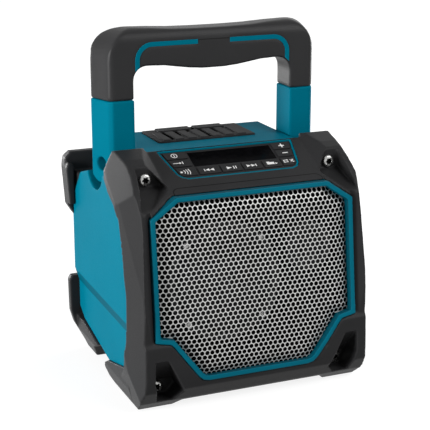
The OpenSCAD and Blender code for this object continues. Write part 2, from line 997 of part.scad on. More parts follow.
module rear_bumper_upper() {
    color(black)
    difference() {
        union() {
            intersection() {
                along(bar_y, guard_back)
                    difference() {
                        polygon(both_sides([[shell_half - 3, 131], [shell_half, 131],
                            [shell_half + 5.5, 140],
                            [shell_half + 8, 176], [shell_half + 7, 184], [shell_half + 2, 190]]));
                        polygon(both_sides([[shell_half - 8, 100], [shell_half - 8, 163],
                            [shell_half - 16, 172]]));
                    }
                across(-120, 120)
                    polygon([[bar_y, 100], [guard_back - 3, 100], [guard_back, 130], [guard_back, 186],
                        [guard_back - 4, 191], [bar_y, 191]]);
            }
            // deep outer sides of the legs
            pair()
                along(leg_front, bar_y + 1)
                    polygon([[shell_half + 0.6, 142], [shell_half + 5.6, 142], [shell_half + 8, 176],
                        [shell_half + 6, 182], [shell_half + 0.6, 178]]);
            // arms that stand on the sloping back
            pair() {
                block([40, 60, 176], [52, bar_y + 2, 186]);
                block([shell_half - 22, 62, 150], [shell_half - 2, bar_y + 1, 172]);
            }
            // feet of the side legs
            pair()
                along(rear_y, guard_back - 4)
                    polygon([[bumper_screw_at[0][0] - 6, 122], [shell_half - 5, 122], [shell_half, 131],
                        [shell_half, 142], [bumper_screw_at[0][0] - 6, 142]]);
        }
        shell_envelope();
        across(-tower_half, tower_half)
            polygon(tower_profile);
        pair() {
            rod_y(bumper_screw_at[0][0], bumper_screw_at[0][1], 60, guard_back + 1, 2.2);
            rod_y(bumper_screw_at[0][0], bumper_screw_at[0][1], upper_head_y, guard_back + 1, 4.3);
        }
    }
}

module rear_bumper_lower() {
    color(black)
    difference() {
        union() {
            // cross bar and side posts behind the shell
            along(rear_y, guard_back)
                difference() {
                    polygon(both_sides([[shell_half - 41, 6], [shell_half - 35, 0], [shell_half - 9, 0],
                        [shell_half - 6, 7.5], [shell_half + 1.5, 23], [shell_half + 4.8, 35],
                        [shell_half + 5.4, 66], [shell_half + 3, 70]]));
                    polygon(both_sides([[shell_half - 47, 40], [shell_half - 22, 40], [shell_half - 20, 58],
                        [shell_half - 9, 62], [shell_half - 9, 80]]));
                }
            // feet and side rails under the shell
            pair()
                difference() {
                    along(-3, rear_y)
                        polygon([[shell_half - 35, 0], [shell_half - 9, 0], [shell_half - 6, 7.5],
                            [shell_half - 1, 18],
                            [shell_half - 1, 30], [shell_half - 15, 30], [shell_half - 35, 10]]);
                    shell_envelope();
                    across(60, 120)
                        polygon([[-10, 15.2], [0, 16], [73, 31], [rear_y + 5, 43], [rear_y + 5, 60],
                            [-10, 60]]);
                    across(60, 120)
                        polygon([[-10, -5], [58, -5], [46, 13], [26, 22], [-10, 22]]);
                }
        }
        across(-130, 130)
            polygon([[guard_back - 14, -1], [guard_back + 5, -1], [guard_back + 5, 24], [guard_back, 24]]);
        pair() {
            rod_y(bumper_screw_at[1][0], bumper_screw_at[1][1], 60, guard_back + 1, 2.2);
            rod_y(bumper_screw_at[1][0], bumper_screw_at[1][1], lower_head_y, guard_back + 1, 4.3);
        }
    }
}

module bumper_screws() {
    color(steel)
    pair() {
        rod_y(bumper_screw_at[0][0], bumper_screw_at[0][1], upper_head_y, upper_head_y + 2.4, 4);
        rod_y(bumper_screw_at[0][0], bumper_screw_at[0][1], rear_y - 11, upper_head_y + 1, 1.95);
        rod_y(bumper_screw_at[1][0], bumper_screw_at[1][1], lower_head_y, lower_head_y + 2.4, 4);
        rod_y(bumper_screw_at[1][0], bumper_screw_at[1][1], rear_y - 11, lower_head_y + 1, 1.95);
    }
}

// Battery bay and door

bay_front = 26;
bay_wall = 2;
hinge_x = -door_half - 4;
hinge_y = rear_y + 4.2;
knuckle_r = 3.2;
seal_t = 1;
plate_y = rear_y + seal_t + 0.3;
tongue_long = 10;

module battery_bay() {
    color([0.12, 0.12, 0.12])
    difference() {
        block([-bay_half, bay_front, bay_z0], [bay_half, rear_y, bay_z1]);
        block([-bay_half + bay_wall, bay_front + bay_wall, bay_z0 + bay_wall],
            [bay_half - bay_wall, rear_y + 1, bay_z1 - bay_wall]);
        // slot for the latch tongue
        block([bay_half - bay_wall - 1, rear_y - wall - 5, latch_z - 5],
            [bay_half + 1, rear_y - wall + 0.1, latch_z + tongue_long + 1.5]);
    }
}

module terminal_block() {
    color([0.85, 0.8, 0.2]) {
        block([-26, bay_front + bay_wall, 70], [26, bay_front + 12, 90]);
        for (x = [-16, 0, 16])
            block([x - 0.8, bay_front + 11, 74], [x + 0.8, bay_front + 24, 86]);
    }
}

module knuckle(z0, z1, bore) {
    difference() {
        translate([hinge_x, hinge_y, z0])
            cylinder(r = knuckle_r, h = z1 - z0);
        translate([hinge_x, hinge_y, z0 - 1])
            cylinder(d = bore, h = z1 - z0 + 2);
    }
}

latch_x = bay_half - 6;
latch_z = (door_z0 + door_z1) / 2;
latch_r = 5;

module battery_door() {
    color(teal)
    difference() {
        union() {
            block([-door_half, plate_y, door_z0], [door_half, plate_y + door_t, door_z1]);
            // ribs across the plate
            for (x = [-42, -20, 2])
                block([x - 5, plate_y + door_t - 0.5, door_z0 + 8],
                    [x + 5, plate_y + door_t + 1, door_z1 - 8]);
            // arms to the hinge
            for (z = [door_z0 + 14, door_z1 - 30])
                difference() {
                    block([hinge_x, hinge_y - 2, z], [-door_half + 1, hinge_y + 0.6, z + 16]);
                    translate([hinge_x, hinge_y, z - 1])
                        cylinder(d = door_pin_d + 2 * pin_clear, h = 20);
                }
            for (z = [door_z0 + 14, door_z1 - 30])
                knuckle(z, z + 16, door_pin_d + 2 * pin_clear);
        }
        rod_y(latch_x, latch_z, plate_y - 1, plate_y + door_t + 4, latch_r + 0.1);
    }
}

module door_seal() {
    color([0.1, 0.1, 0.1])
    along(rear_y, rear_y + seal_t)
        difference() {
            polygon(both_sides([[door_half - 5, door_z0 + 3.5], [door_half - 5, door_z1 - 3.5]]));
            polygon(both_sides([[door_half - 7, door_z0 + 5.5], [door_half - 7, door_z1 - 5.5]]));
        }
}

// pin with its fixed knuckles
module door_pin() {
    color(steel) {
        translate([hinge_x, hinge_y, door_z0 + 6])
            cylinder(d = door_pin_d, h = door_z1 - door_z0 - 12);
        for (z = [door_z0 + 6, latch_z - 3.2, door_z1 - 13.6])
            difference() {
                union() {
                    translate([hinge_x, hinge_y, z])
                        cylinder(r = knuckle_r - 0.2, h = 6.4);
                    block([hinge_x - 3.4, rear_y, z], [hinge_x + 0.4, hinge_y, z + 6.4]);
                }
                translate([hinge_x, hinge_y, z - 1])
                    cylinder(d = door_pin_d, h = 10);
            }
    }
}

module door_latch() {
    color(black) {
        rod_y(latch_x, latch_z, plate_y, plate_y + door_t + 1, latch_r);
        rod_y(latch_x, latch_z, rear_y - wall - 3, plate_y + 1, latch_r - 2);
        rod_y(latch_x, latch_z, plate_y + door_t + 0.4, plate_y + door_t + 1.2, latch_r + 2);
        block([latch_x - 1.4, plate_y + door_t + 1, latch_z - 6],
            [latch_x + 1.4, plate_y + door_t + 2.4, latch_z + 6]);
        // tongue that turns behind the shell
        block([latch_x - 2, rear_y - wall - 3.6, latch_z - 3],
            [latch_x + 2, rear_y - wall - 0.6, latch_z + tongue_long]);
    }
}

// Sockets

module socket_plate() {
    color([0.14, 0.14, 0.15])
    difference() {
        block([socket_x - socket_half + 2.1, rear_y - 4, socket_z - socket_tall + 2.1],
            [socket_x + socket_half - 2.1, rear_y - 1.5, socket_z + socket_tall - 2.1]);
        rod_y(socket_x, socket_z + 6, rear_y - 6, rear_y + 1, 4.1);
        block([socket_x - 6.7, rear_y - 6, socket_z - 10], [socket_x + 6.7, rear_y, socket_z - 4]);
    }
}

module dc_jack() {
    color([0.1, 0.1, 0.1]) {
        difference() {
            rod_y(socket_x, socket_z + 6, rear_y - 14, rear_y - 1.5, 4.05);
            rod_y(socket_x, socket_z + 6, rear_y - 12, rear_y, 2.8);
        }
        rod_y(socket_x, socket_z + 6, rear_y - 13, rear_y - 3, 1);
    }
}

module usb_socket() {
    color(steel) {
        difference() {
            block([socket_x - 6.65, rear_y - 14, socket_z - 9.95],
                [socket_x + 6.65, rear_y - 1.5, socket_z - 4.05]);
            block([socket_x - 6.1, rear_y - 13, socket_z - 9.4], [socket_x + 6.1, rear_y, socket_z - 4.6]);
        }
        block([socket_x - 5.4, rear_y - 13.5, socket_z - 6.6], [socket_x + 5.4, rear_y - 4, socket_z - 5]);
    }
}

cap_hinge_z = socket_z + socket_tall + 2;
cap_hinge_y = rear_y + 2.2;
cap_pin_r = 0.8;

module socket_cap() {
    color(black)
    difference() {
        union() {
            block([socket_x - socket_half, rear_y + 0.4, socket_z - socket_tall],
                [socket_x + socket_half, rear_y + 2.6, cap_hinge_z - 2.4]);
            block([socket_x - 6, rear_y + 0.6, cap_hinge_z - 3], [socket_x + 6, rear_y + 3, cap_hinge_z]);
            rod_x(cap_hinge_y, cap_hinge_z, socket_x - 6, socket_x + 6, 1.8);
            block([socket_x - 4, rear_y + 0.4, socket_z - socket_tall - 2],
                [socket_x + 4, rear_y + 3.6, socket_z - 13]);
        }
        rod_x(cap_hinge_y, cap_hinge_z, socket_x - 20, socket_x + 20, cap_pin_r + pin_clear);
    }
}

// pin of the cap with its two lugs
module cap_pin() {
    color(steel) {
        rod_x(cap_hinge_y, cap_hinge_z, socket_x - 9, socket_x + 9, cap_pin_r);
        for (x = [-9, 6.4]) {
            block([socket_x + x, rear_y, cap_hinge_z - 1.7],
                [socket_x + x + 2.6, cap_hinge_y, cap_hinge_z + 1.7]);
            rod_x(cap_hinge_y, cap_hinge_z, socket_x + x, socket_x + x + 2.6, 1.7);
        }
    }
}

// Electronics

board_y = 12;

module main_board() {
    color(board_green)
    difference() {
        union() {
            block([-62, board_y, 62], [62, board_y + 1.6, 140]);
            for (x = [-40, 40])
                for (z = [66, 96])
                    rod_y(x, z, board_y + 1, bay_front, 3);
        }
        for (x = [-54, 54])
            rod_y(x, 132, board_y - 1, board_y + 3, 1.6);
    }
}

module heat_sink() {
    color([0.6, 0.6, 0.62]) {
        block([-30, board_y - 4, 104], [30, board_y, 136]);
        for (i = [0 : 7])
            block([-30 + 8.28 * i, board_y - 16, 104], [-28 + 8.28 * i, board_y - 3, 136]);
    }
}

housing();
front_bezel();
bezel_screws();
grille_frame();
grille();
baffle();
woofer_basket();
woofer_magnet();
woofer_screws();
woofer_cone();
voice_coil();
dust_cap();
woofer_surround();
woofer_spider();
tweeter_body();
tweeter_dome();
panel_trim();
control_panel();
display_window();
display_module();
key_board();
key_power();
key_source();
key_pairing();
key_previous();
key_play();
key_next();
key_folder();
key_repeat();
key_plus();
key_minus();
top_pad();
handle_frame();
grip_cover();
grip_stripes();
pivot_screws();
pivot_washers();
rear_bumper_upper();
rear_bumper_lower();
bumper_screws();
battery_bay();
terminal_block();
battery_door();
door_seal();
door_pin();
door_latch();
socket_plate();
dc_jack();
usb_socket();
socket_cap();
cap_pin();
main_board();
heat_sink();
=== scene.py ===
import json
import math

import bmesh
import bpy
from mathutils import Matrix, Vector
from mathutils.geometry import delaunay_2d_cdt


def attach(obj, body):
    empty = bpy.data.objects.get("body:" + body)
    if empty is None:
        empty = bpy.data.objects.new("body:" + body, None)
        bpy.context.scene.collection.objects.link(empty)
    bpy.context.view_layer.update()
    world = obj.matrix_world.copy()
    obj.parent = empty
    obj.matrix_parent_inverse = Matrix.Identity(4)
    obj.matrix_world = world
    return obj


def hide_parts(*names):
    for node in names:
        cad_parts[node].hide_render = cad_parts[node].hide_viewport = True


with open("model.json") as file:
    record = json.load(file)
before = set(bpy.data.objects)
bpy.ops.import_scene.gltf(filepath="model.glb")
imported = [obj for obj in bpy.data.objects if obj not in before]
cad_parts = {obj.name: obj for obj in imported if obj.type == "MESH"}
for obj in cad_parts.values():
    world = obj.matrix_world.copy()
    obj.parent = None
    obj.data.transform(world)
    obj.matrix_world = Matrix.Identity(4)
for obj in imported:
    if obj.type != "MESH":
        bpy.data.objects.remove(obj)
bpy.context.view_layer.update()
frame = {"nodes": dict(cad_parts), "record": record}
nodes = frame["nodes"]
scene = bpy.context.scene
MM = 0.001

# Camera: the photograph's viewpoint, solved from mirror pairs on the object
PHOTO_PIXELS = 430
EYE = Vector((-0.4308, -1.0140, 0.4632))
AZIMUTH = math.radians(-22.95)
ELEVATION = math.radians(16.34)
FOCAL_PIXELS = 1283.4
SENSOR_MM = 36.0


def add_camera():
    back = Vector((math.sin(AZIMUTH) * math.cos(ELEVATION), -math.cos(AZIMUTH) * math.cos(ELEVATION),
                   math.sin(ELEVATION)))
    right = Vector((math.cos(AZIMUTH), math.sin(AZIMUTH), 0))
    up = back.cross(right)
    data = bpy.data.cameras.new("photo_camera")
    data.sensor_width = SENSOR_MM
    data.lens = FOCAL_PIXELS / PHOTO_PIXELS * SENSOR_MM
    camera = bpy.data.objects.new("photo_camera", data)
    turn = Matrix((right, up, back)).transposed()
    camera.matrix_world = Matrix.Translation(EYE) @ turn.to_4x4()
    scene.collection.objects.link(camera)
    scene.camera = camera


add_camera()

# Leaning frames, the same as in the part's source, in millimetres
FRONT_FOOT = (0, -96.5, 0)
FRONT_TILT = math.radians(-6.2)
PANEL_FOOT = (0, -55, 190.9)
PANEL_TILT = math.radians(24)
FRONT = Matrix.Translation(FRONT_FOOT) @ Matrix.Rotation(FRONT_TILT, 4, "X")
PANEL = Matrix.Translation(PANEL_FOOT) @ Matrix.Rotation(PANEL_TILT, 4, "X")


# Node building blocks
NOISE_LOW = 0.3
NOISE_HIGH = 0.7
EDGE_LOW = 0.53
EDGE_HIGH = 0.60


def map_range(tree, value, low, high, low_in=0.0, high_in=1.0):
    node = tree.nodes.new("ShaderNodeMapRange")
    tree.links.new(value, node.inputs["Value"])
    for socket, number in (("From Min", low_in), ("From Max", high_in), ("To Min", low), ("To Max", high)):
        node.inputs[socket].default_value = number
    return node.outputs["Result"]


def math_node(tree, operation, *values):
    node = tree.nodes.new("ShaderNodeMath")
    node.operation = operation
    for socket, value in zip(node.inputs, values):
        if isinstance(value, (int, float)):
            socket.default_value = value
        else:
            tree.links.new(value, socket)
    return node.outputs[0]


class Look:
    """A node-based material under construction."""

    def __init__(self, name):
        self.material = bpy.data.materials.new(name)
        self.material.use_nodes = True
        self.tree = self.material.node_tree
        self.shader = self.tree.nodes["Principled BSDF"]
        self.place = self.tree.nodes.new("ShaderNodeTexCoord").outputs["Object"]

    def set(self, **values):
        for key, value in values.items():
            self.shader.inputs[key.replace("_", " ")].default_value = value

    def stretched(self, scale):
        node = self.tree.nodes.new("ShaderNodeMapping")
        node.inputs["Scale"].default_value = scale
        self.tree.links.new(self.place, node.inputs["Vector"])
        return node.outputs["Vector"]

    def axes(self, vector=None):
        node = self.tree.nodes.new("ShaderNodeSeparateXYZ")
        self.tree.links.new(vector or self.place, node.inputs["Vector"])
        return node.outputs["X"], node.outputs["Y"], node.outputs["Z"]

    def normal(self):
        return self.tree.nodes.new("ShaderNodeNewGeometry").outputs["Normal"]

    def noise(self, scale, detail=2.0, vector=None):
        node = self.tree.nodes.new("ShaderNodeTexNoise")
        node.inputs["Scale"].default_value = scale
        node.inputs["Detail"].default_value = detail
        self.tree.links.new(vector or self.place, node.inputs["Vector"])
        return node.outputs["Fac"]

    def cells(self, scale):
        node = self.tree.nodes.new("ShaderNodeTexVoronoi")
        node.inputs["Scale"].default_value = scale
        self.tree.links.new(self.place, node.inputs["Vector"])
        return node.outputs["Distance"]

    def wave(self, scale, direction):
        node = self.tree.nodes.new("ShaderNodeTexWave")
        node.wave_type = "BANDS"
        node.bands_direction = direction
        node.inputs["Scale"].default_value = scale
        self.tree.links.new(self.place, node.inputs["Vector"])
        return node.outputs["Fac"]

    def spread(self, value, low, high, low_in=NOISE_LOW, high_in=NOISE_HIGH):
        return map_range(self.tree, value, low, high, low_in, high_in)

    def blend(self, factor, first, second):
        node = self.tree.nodes.new("ShaderNodeMix")
        node.data_type = "RGBA"
        self.tree.links.new(factor, node.inputs["Factor"])
        for socket, colour in ((node.inputs["A"], first), (node.inputs["B"], second)):
            if isinstance(colour, tuple):
                socket.default_value = (*colour, 1)
            else:
                self.tree.links.new(colour, socket)
        return node.outputs["Result"]

    def edges(self):
        """High on convex edges, where handling polishes the surface, and where a highlight is painted."""
        geometry = self.tree.nodes.new("ShaderNodeNewGeometry")
        return self.spread(geometry.outputs["Pointiness"], 0.0, 1.0, EDGE_LOW, EDGE_HIGH)

    def calc(self, operation, *values):
        return math_node(self.tree, operation, *values)

    def colour(self, value):
        self.tree.links.new(value, self.shader.inputs["Base Color"])

    def rough(self, value):
        self.tree.links.new(value, self.shader.inputs["Roughness"])

    def bump(self, height, strength, distance):
        node = self.tree.nodes.new("ShaderNodeBump")
        node.inputs["Strength"].default_value = strength
        node.inputs["Distance"].default_value = distance
        self.tree.links.new(height, node.inputs["Height"])
        self.tree.links.new(node.outputs["Normal"], self.shader.inputs["Normal"])


def tone(colour, factor):
    return tuple(min(1.0, c * factor) for c in colour)


# Moulded and metal finishes
CLOUD_SCALE = 16.0
WEAR_AND_HIGHLIGHT_SCALE = 60.0
SPECKLE = 0.35
SHEEN_SPREAD = 0.07
GRAIN_DEPTH = 0.00012
SEAM_OR_SHADE_TONE = 0.05
PATCH_SCALE = 90.0
STREAK_BUMP = 0.12
STREAK_DEPTH = 0.0001


def moulded(name, colour, rough, grain, bump, gloss, variety=0.1, edge_wear_and_highlight=1.3, seam_or_shade=None):
    """Injection-moulded plastic or rubber: cloudy tone, fine grain, edges lightened by wear and as a painted
    highlight, and dark seams and painted shade from a given mask.
    """
    look = Look(name)
    look.set(Specular_IOR_Level=gloss)
    cloud = look.spread(look.noise(CLOUD_SCALE, 4.0), 0.0, 1.0)
    fine = look.noise(grain, 2.0)
    body = look.blend(cloud, tone(colour, 1 - variety), tone(colour, 1 + variety))
    speckled = look.blend(look.spread(fine, 0.0, SPECKLE), body, tone(colour, 1 - 2 * variety))
    # Edges lighter: wear, and a painted highlight
    wear_and_highlight = look.calc("MULTIPLY", look.edges(), look.spread(look.noise(WEAR_AND_HIGHLIGHT_SCALE, 3.0), 0.1, 0.8))
    finish = look.blend(wear_and_highlight, speckled, tone(colour, edge_wear_and_highlight))
    # Darkening from a given mask: real seams, and painted shade on the bead walls and the shell's belt
    if seam_or_shade:
        finish = look.blend(seam_or_shade(look), finish, tone(colour, SEAM_OR_SHADE_TONE))
    look.colour(finish)
    look.rough(look.spread(fine, rough - SHEEN_SPREAD, rough + SHEEN_SPREAD))
    look.bump(fine, bump, GRAIN_DEPTH)
    return look.material


def metal(name, colour, rough, stretch, metallic=1.0):
    """Drawn or brushed metal with fine streaks and a few dull patches."""
    look = Look(name)
    look.set(Metallic=metallic)
    streaks = look.noise(1.0, 4.0, look.stretched(stretch))
    patch = look.spread(look.noise(PATCH_SCALE, 3.0), 0.0, 1.0)
    look.colour(look.blend(patch, tone(colour, 0.88), tone(colour, 1.06)))
    look.rough(look.spread(streaks, rough - 0.08, rough + 0.1))
    look.bump(streaks, STREAK_BUMP, STREAK_DEPTH)
    return look.material


def make_cloth(name, colour, threads):
    look = Look(name)
    warp = look.wave(threads, direction="X")
    weft = look.wave(threads, direction="Z")
    weave = look.calc("MULTIPLY", warp, weft)
    look.colour(look.blend(look.spread(weave, 0.0, 1.0, 0.0, 1.0), tone(colour, 0.6), tone(colour, 1.1)))
    look.rough(look.spread(look.noise(400.0), 0.75, 0.95))
    look.bump(weave, 0.5, 0.0003)
    look.set(Specular_IOR_Level=0.15)
    return look.material


def make_pulp(name, colour):
    look = Look(name)
    fibres = look.noise(900.0, 5.0)
    look.colour(look.blend(look.spread(fibres, 0.0, 1.0), tone(colour, 0.6), tone(colour, 1.6)))
    look.rough(look.spread(look.noise(200.0), 0.7, 0.9))
    look.bump(fibres, 0.4, 0.0002)
    look.set(Specular_IOR_Level=0.2)
    return look.material


def make_glass(name, colour):
    """Dark display lens: clean gloss with a faint film of dust."""
    look = Look(name)
    look.set(Specular_IOR_Level=0.12)
    dust = look.noise(300.0, 5.0)
    look.colour(look.blend(look.spread(dust, 0.0, 1.0, 0.45, 0.8), colour, tone(colour, 2.2)))
    look.rough(look.spread(look.noise(40.0, 3.0), 0.06, 0.14))
    return look.material


def make_board(name, colour):
    """Solder mask over copper tracks."""
    look = Look(name)
    tracks = look.wave(120.0, direction="X")
    vias = look.cells(220.0)
    masked = look.blend(look.spread(tracks, 0.0, 0.6, 0.55, 0.65), colour, tone(colour, 1.9))
    look.colour(look.blend(look.spread(vias, 1.0, 0.0, 0.08, 0.12), masked, (0.5, 0.42, 0.2)))
    look.rough(look.spread(look.noise(300.0), 0.3, 0.45))
    look.bump(tracks, 0.2, 0.0001)
    return look.material


def make_wound(name, colour):
    look = Look(name)
    turns = look.wave(900.0, direction="Y")
    look.set(Metallic=0.8)
    look.colour(look.blend(turns, tone(colour, 0.5), tone(colour, 1.1)))
    look.rough(look.spread(look.noise(200.0), 0.25, 0.4))
    look.bump(turns, 0.4, 0.0003)
    return look.material


# Parting line on the hood: a line with rounded ends in the plane of the key panel, in metres
SEAM_HALF = 0.068
SEAM_UP = -0.0112
SEAM_CORNER = 0.006
SEAM_WIDE = 0.0006
SEAM_LOW = 0.1815


def hood_seam(look):
    x, y, z = look.axes()
    ahead = look.calc("MULTIPLY", look.calc("SUBTRACT", y, PANEL_FOOT[1] * MM), math.cos(PANEL_TILT))
    above = look.calc("MULTIPLY", look.calc("SUBTRACT", z, PANEL_FOOT[2] * MM), math.sin(PANEL_TILT))
    up = look.calc("SUBTRACT", look.calc("ADD", ahead, above), SEAM_UP - SEAM_CORNER)
    out = look.calc("SUBTRACT", look.calc("ABSOLUTE", x), SEAM_HALF - SEAM_CORNER)
    corner = look.calc("SQRT", look.calc("ADD", look.calc("POWER", look.calc("MAXIMUM", up, 0.0), 2.0),
                                         look.calc("POWER", look.calc("MAXIMUM", out, 0.0), 2.0)))
    off = look.calc("ABSOLUTE", look.calc("SUBTRACT", corner, SEAM_CORNER))
    line = look.spread(off, 1.0, 0.0, SEAM_WIDE * 0.5, SEAM_WIDE)
    return look.calc("MULTIPLY", line, look.calc("GREATER_THAN", z, SEAM_LOW))


# Joint of the soft insert in the grip, between the two stripes, in metres
GRIP_SEAM_UP = 0.2976
GRIP_SEAM_HALF = 0.016
GRIP_SEAM_WIDE = 0.0005
GRIP_FRONT = 0.012


def grip_seam(look):
    x, y, z = look.axes()
    off = look.calc("ABSOLUTE", look.calc("SUBTRACT", z, GRIP_SEAM_UP))
    line = look.spread(off, 1.0, 0.0, GRIP_SEAM_WIDE * 0.5, GRIP_SEAM_WIDE)
    between = look.calc("LESS_THAN", look.calc("ABSOLUTE", x), GRIP_SEAM_HALF)
    ahead = look.calc("LESS_THAN", y, GRIP_FRONT)
    return look.calc("MULTIPLY", line, look.calc("MULTIPLY", between, ahead))


# Painted shade: a deeper tone on the walls of the bead, by how far they face the front, and on the undercut
# belt of the shell, by how far it faces down
BEAD_SHADE_DEPTH = 0.6
BEAD_WALL = 0.75
BEAD_FACE = 0.985
BELT_SHADE_DEPTH = 0.42
BELT_FULL = -0.28
BELT_START = -0.12


def bead_wall_shade(look):
    """Painted shade: high where the bead round the grille turns away from the front."""
    facing = look.tree.nodes.new("ShaderNodeVectorMath")
    facing.operation = "DOT_PRODUCT"
    facing.inputs[1].default_value = FRONT.to_3x3() @ Vector((0, -1, 0))
    look.tree.links.new(look.normal(), facing.inputs[0])
    return look.spread(facing.outputs["Value"], BEAD_SHADE_DEPTH, 0.0, BEAD_WALL, BEAD_FACE)


def side_belt_shade(look):
    """Painted shade: high where the shell's sides lean inwards towards the floor."""
    up = look.axes(look.normal())[2]
    return look.spread(up, BELT_SHADE_DEPTH, 0.0, BELT_FULL, BELT_START)


# Finishes
TEAL = (0.0, 0.168, 0.25)
BLACK = (0.026, 0.026, 0.027)
RUBBER = (0.024, 0.024, 0.025)
SHELL = dict(rough=0.46, grain=1500.0, bump=0.10, gloss=0.008, variety=0.05, edge_wear_and_highlight=1.25)
GUARD = dict(rough=0.42, grain=1200.0, bump=0.22, gloss=0.08, variety=0.12, edge_wear_and_highlight=1.9)
LOOKS = {
    "shell_teal": moulded("shell_teal", TEAL, **SHELL),
    "guard_black": moulded("guard_black", BLACK, **GUARD),
    "soft_black": moulded("soft_black", RUBBER, rough=0.56, grain=1800.0, bump=0.15, gloss=0.04,
                          variety=0.12, edge_wear_and_highlight=1.7),
    "key_black": moulded("key_black", (0.022, 0.022, 0.023), rough=0.60, grain=2000.0, bump=0.10, gloss=0.12,
                         variety=0.12, edge_wear_and_highlight=1.6),
    "steel": metal("steel", (0.42, 0.42, 0.41), rough=0.26, stretch=(300.0, 300.0, 1500.0)),
    "grille_steel": metal("grille_steel", (0.70, 0.70, 0.69), rough=0.42, stretch=(60.0, 900.0, 900.0),
                          metallic=0.15),
    "cone_paper": make_pulp("cone_paper", (0.02, 0.02, 0.02)),
    "spider_cloth": make_cloth("spider_cloth", (0.42, 0.29, 0.12), threads=420.0),
    "copper": make_wound("copper", (0.5, 0.22, 0.1)),
    "dome_silk": make_cloth("dome_silk", (0.05, 0.05, 0.055), threads=900.0),
    "display_glass": make_glass("display_glass", (0.0025, 0.0025, 0.003)),
    "display_body": moulded("display_body", (0.03, 0.035, 0.03), rough=0.55, grain=700.0, bump=0.1,
                            gloss=0.3),
    "board": make_board("board", (0.012, 0.09, 0.035)),
    "sink_aluminium": metal("sink_aluminium", (0.6, 0.6, 0.62), rough=0.35, stretch=(40.0, 40.0, 1200.0)),
    "terminal": moulded("terminal", (0.5, 0.4, 0.03), rough=0.5, grain=900.0, bump=0.1, gloss=0.35),
}
GRIP = moulded("grip_rubber", RUBBER, rough=0.40, grain=1800.0, bump=0.15, gloss=0.14, variety=0.12,
               edge_wear_and_highlight=1.9, seam_or_shade=grip_seam)
# The bead's teal, with painted shade on its inner walls
BEAD = moulded("bead_teal_painted_shade", TEAL, rough=0.42, grain=1500.0, bump=0.10, gloss=0.08, variety=0.05,
               edge_wear_and_highlight=1.4, seam_or_shade=bead_wall_shade)
# Near-black: the baffle's own colour, and painted shade on the grille's hole walls and back and in the screw
# sockets
PRIMER_AND_SHADE = moulded("primer_and_painted_shade", (0.004, 0.004, 0.004), rough=0.7, grain=900.0, bump=0.2, gloss=0.02)
INK = moulded("icon_ink", (0.95, 0.95, 0.94), rough=0.5, grain=900.0, bump=0.05, gloss=0.3, variety=0.03,
              edge_wear_and_highlight=1.0)
OWN_LOOKS = {
    # Painted shade: the pivot screws darkened to stand for the shade in their deep holes
    "pivot_screws": metal("steel_with_painted_shade", (0.06, 0.06, 0.065), rough=0.38, stretch=(1500.0, 300.0, 300.0)),
    "front_bezel": moulded("guard_seamed", BLACK, seam_or_shade=hood_seam, **GUARD),
    "grip_cover": GRIP,
    "grille_frame": BEAD,
    "baffle": PRIMER_AND_SHADE,
    # The housing's teal, with painted shade on the undercut belt
    "housing": moulded("shell_teal_belt_shade", TEAL, seam_or_shade=side_belt_shade, **SHELL),
}

slots = {s["node"]: s["material_slot"] for s in frame["record"]["subparts"]}
for name, obj in nodes.items():
    obj.data.materials.clear()
    obj.data.materials.append(OWN_LOOKS.get(name, LOOKS[slots[name]]))


# Rounded edges on the solids
WELD_DISTANCE = 0.00001
SMOOTHING = 0.5
FLAT_ANGLE = math.radians(1.0)
BEVEL_ANGLE = math.radians(28.0)


def clean(obj):
    weld = obj.modifiers.new("weld", "WELD")
    weld.merge_threshold = WELD_DISTANCE


def moulded_edges(name, voxel, rounds, keep):
    """Soft, melted edges: the solid is rebuilt on a fine grid and smoothed."""
    obj = nodes[name]
    clean(obj)
    grid = obj.modifiers.new("grid", "REMESH")
    grid.mode = "VOXEL"
    grid.voxel_size = voxel * MM
    grid.use_smooth_shade = True
    soft = obj.modifiers.new("soft", "SMOOTH")
    soft.factor = SMOOTHING
    soft.iterations = rounds
    thin = obj.modifiers.new("thin", "DECIMATE")
    thin.ratio = keep


def bevelled(name, width, segments=2):
    obj = nodes[name]
    clean(obj)
    flat = obj.modifiers.new("flat", "DECIMATE")
    flat.decimate_type = "DISSOLVE"
    flat.angle_limit = FLAT_ANGLE
    edge = obj.modifiers.new("edge", "BEVEL")
    edge.width = width * MM
    edge.segments = segments
    edge.limit_method = "ANGLE"
    edge.angle_limit = BEVEL_ANGLE
    edge.use_clamp_overlap = False
    edge.miter_outer = "MITER_ARC"


for name in ("front_bezel", "rear_bumper_upper", "rear_bumper_lower"):
    moulded_edges(name, voxel=0.9, rounds=4, keep=0.25)
moulded_edges("grip_cover", voxel=0.9, rounds=34, keep=0.35)
moulded_edges("handle_frame", voxel=0.9, rounds=4, keep=0.3)
moulded_edges("housing", voxel=1.0, rounds=2, keep=0.25)
moulded_edges("grille_frame", voxel=0.6, rounds=5, keep=0.35)
KEYS = ("power", "source", "pairing", "previous", "play", "next", "folder", "repeat", "plus", "minus")
for key in KEYS:
    bevelled("key_" + key, width=0.3, segments=3)
BEVELS = {"panel_trim": 0.35, "top_pad": 0.5, "grip_stripes": 0.3, "battery_door": 0.6, "door_latch": 0.4,
          "socket_cap": 0.4, "bumper_screws": 0.5, "pivot_screws": 0.4, "door_pin": 0.2,
          "display_window": 0.1}
for name, width in BEVELS.items():
    bevelled(name, width)


# New pieces
def piece(name, vertices, faces, body, material, smooth=False):
    mesh = bpy.data.meshes.new(name)
    mesh.from_pydata([tuple(Vector(v) * MM) for v in vertices], [], faces)
    mesh.validate()
    work = bmesh.new()
    work.from_mesh(mesh)
    bmesh.ops.recalc_face_normals(work, faces=work.faces)
    work.to_mesh(mesh)
    work.free()
    mesh.polygons.foreach_set("use_smooth", [smooth] * len(mesh.polygons))
    mesh.materials.append(material)
    obj = bpy.data.objects.new(name, mesh)
    scene.collection.objects.link(obj)
    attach(obj, body)
    return obj


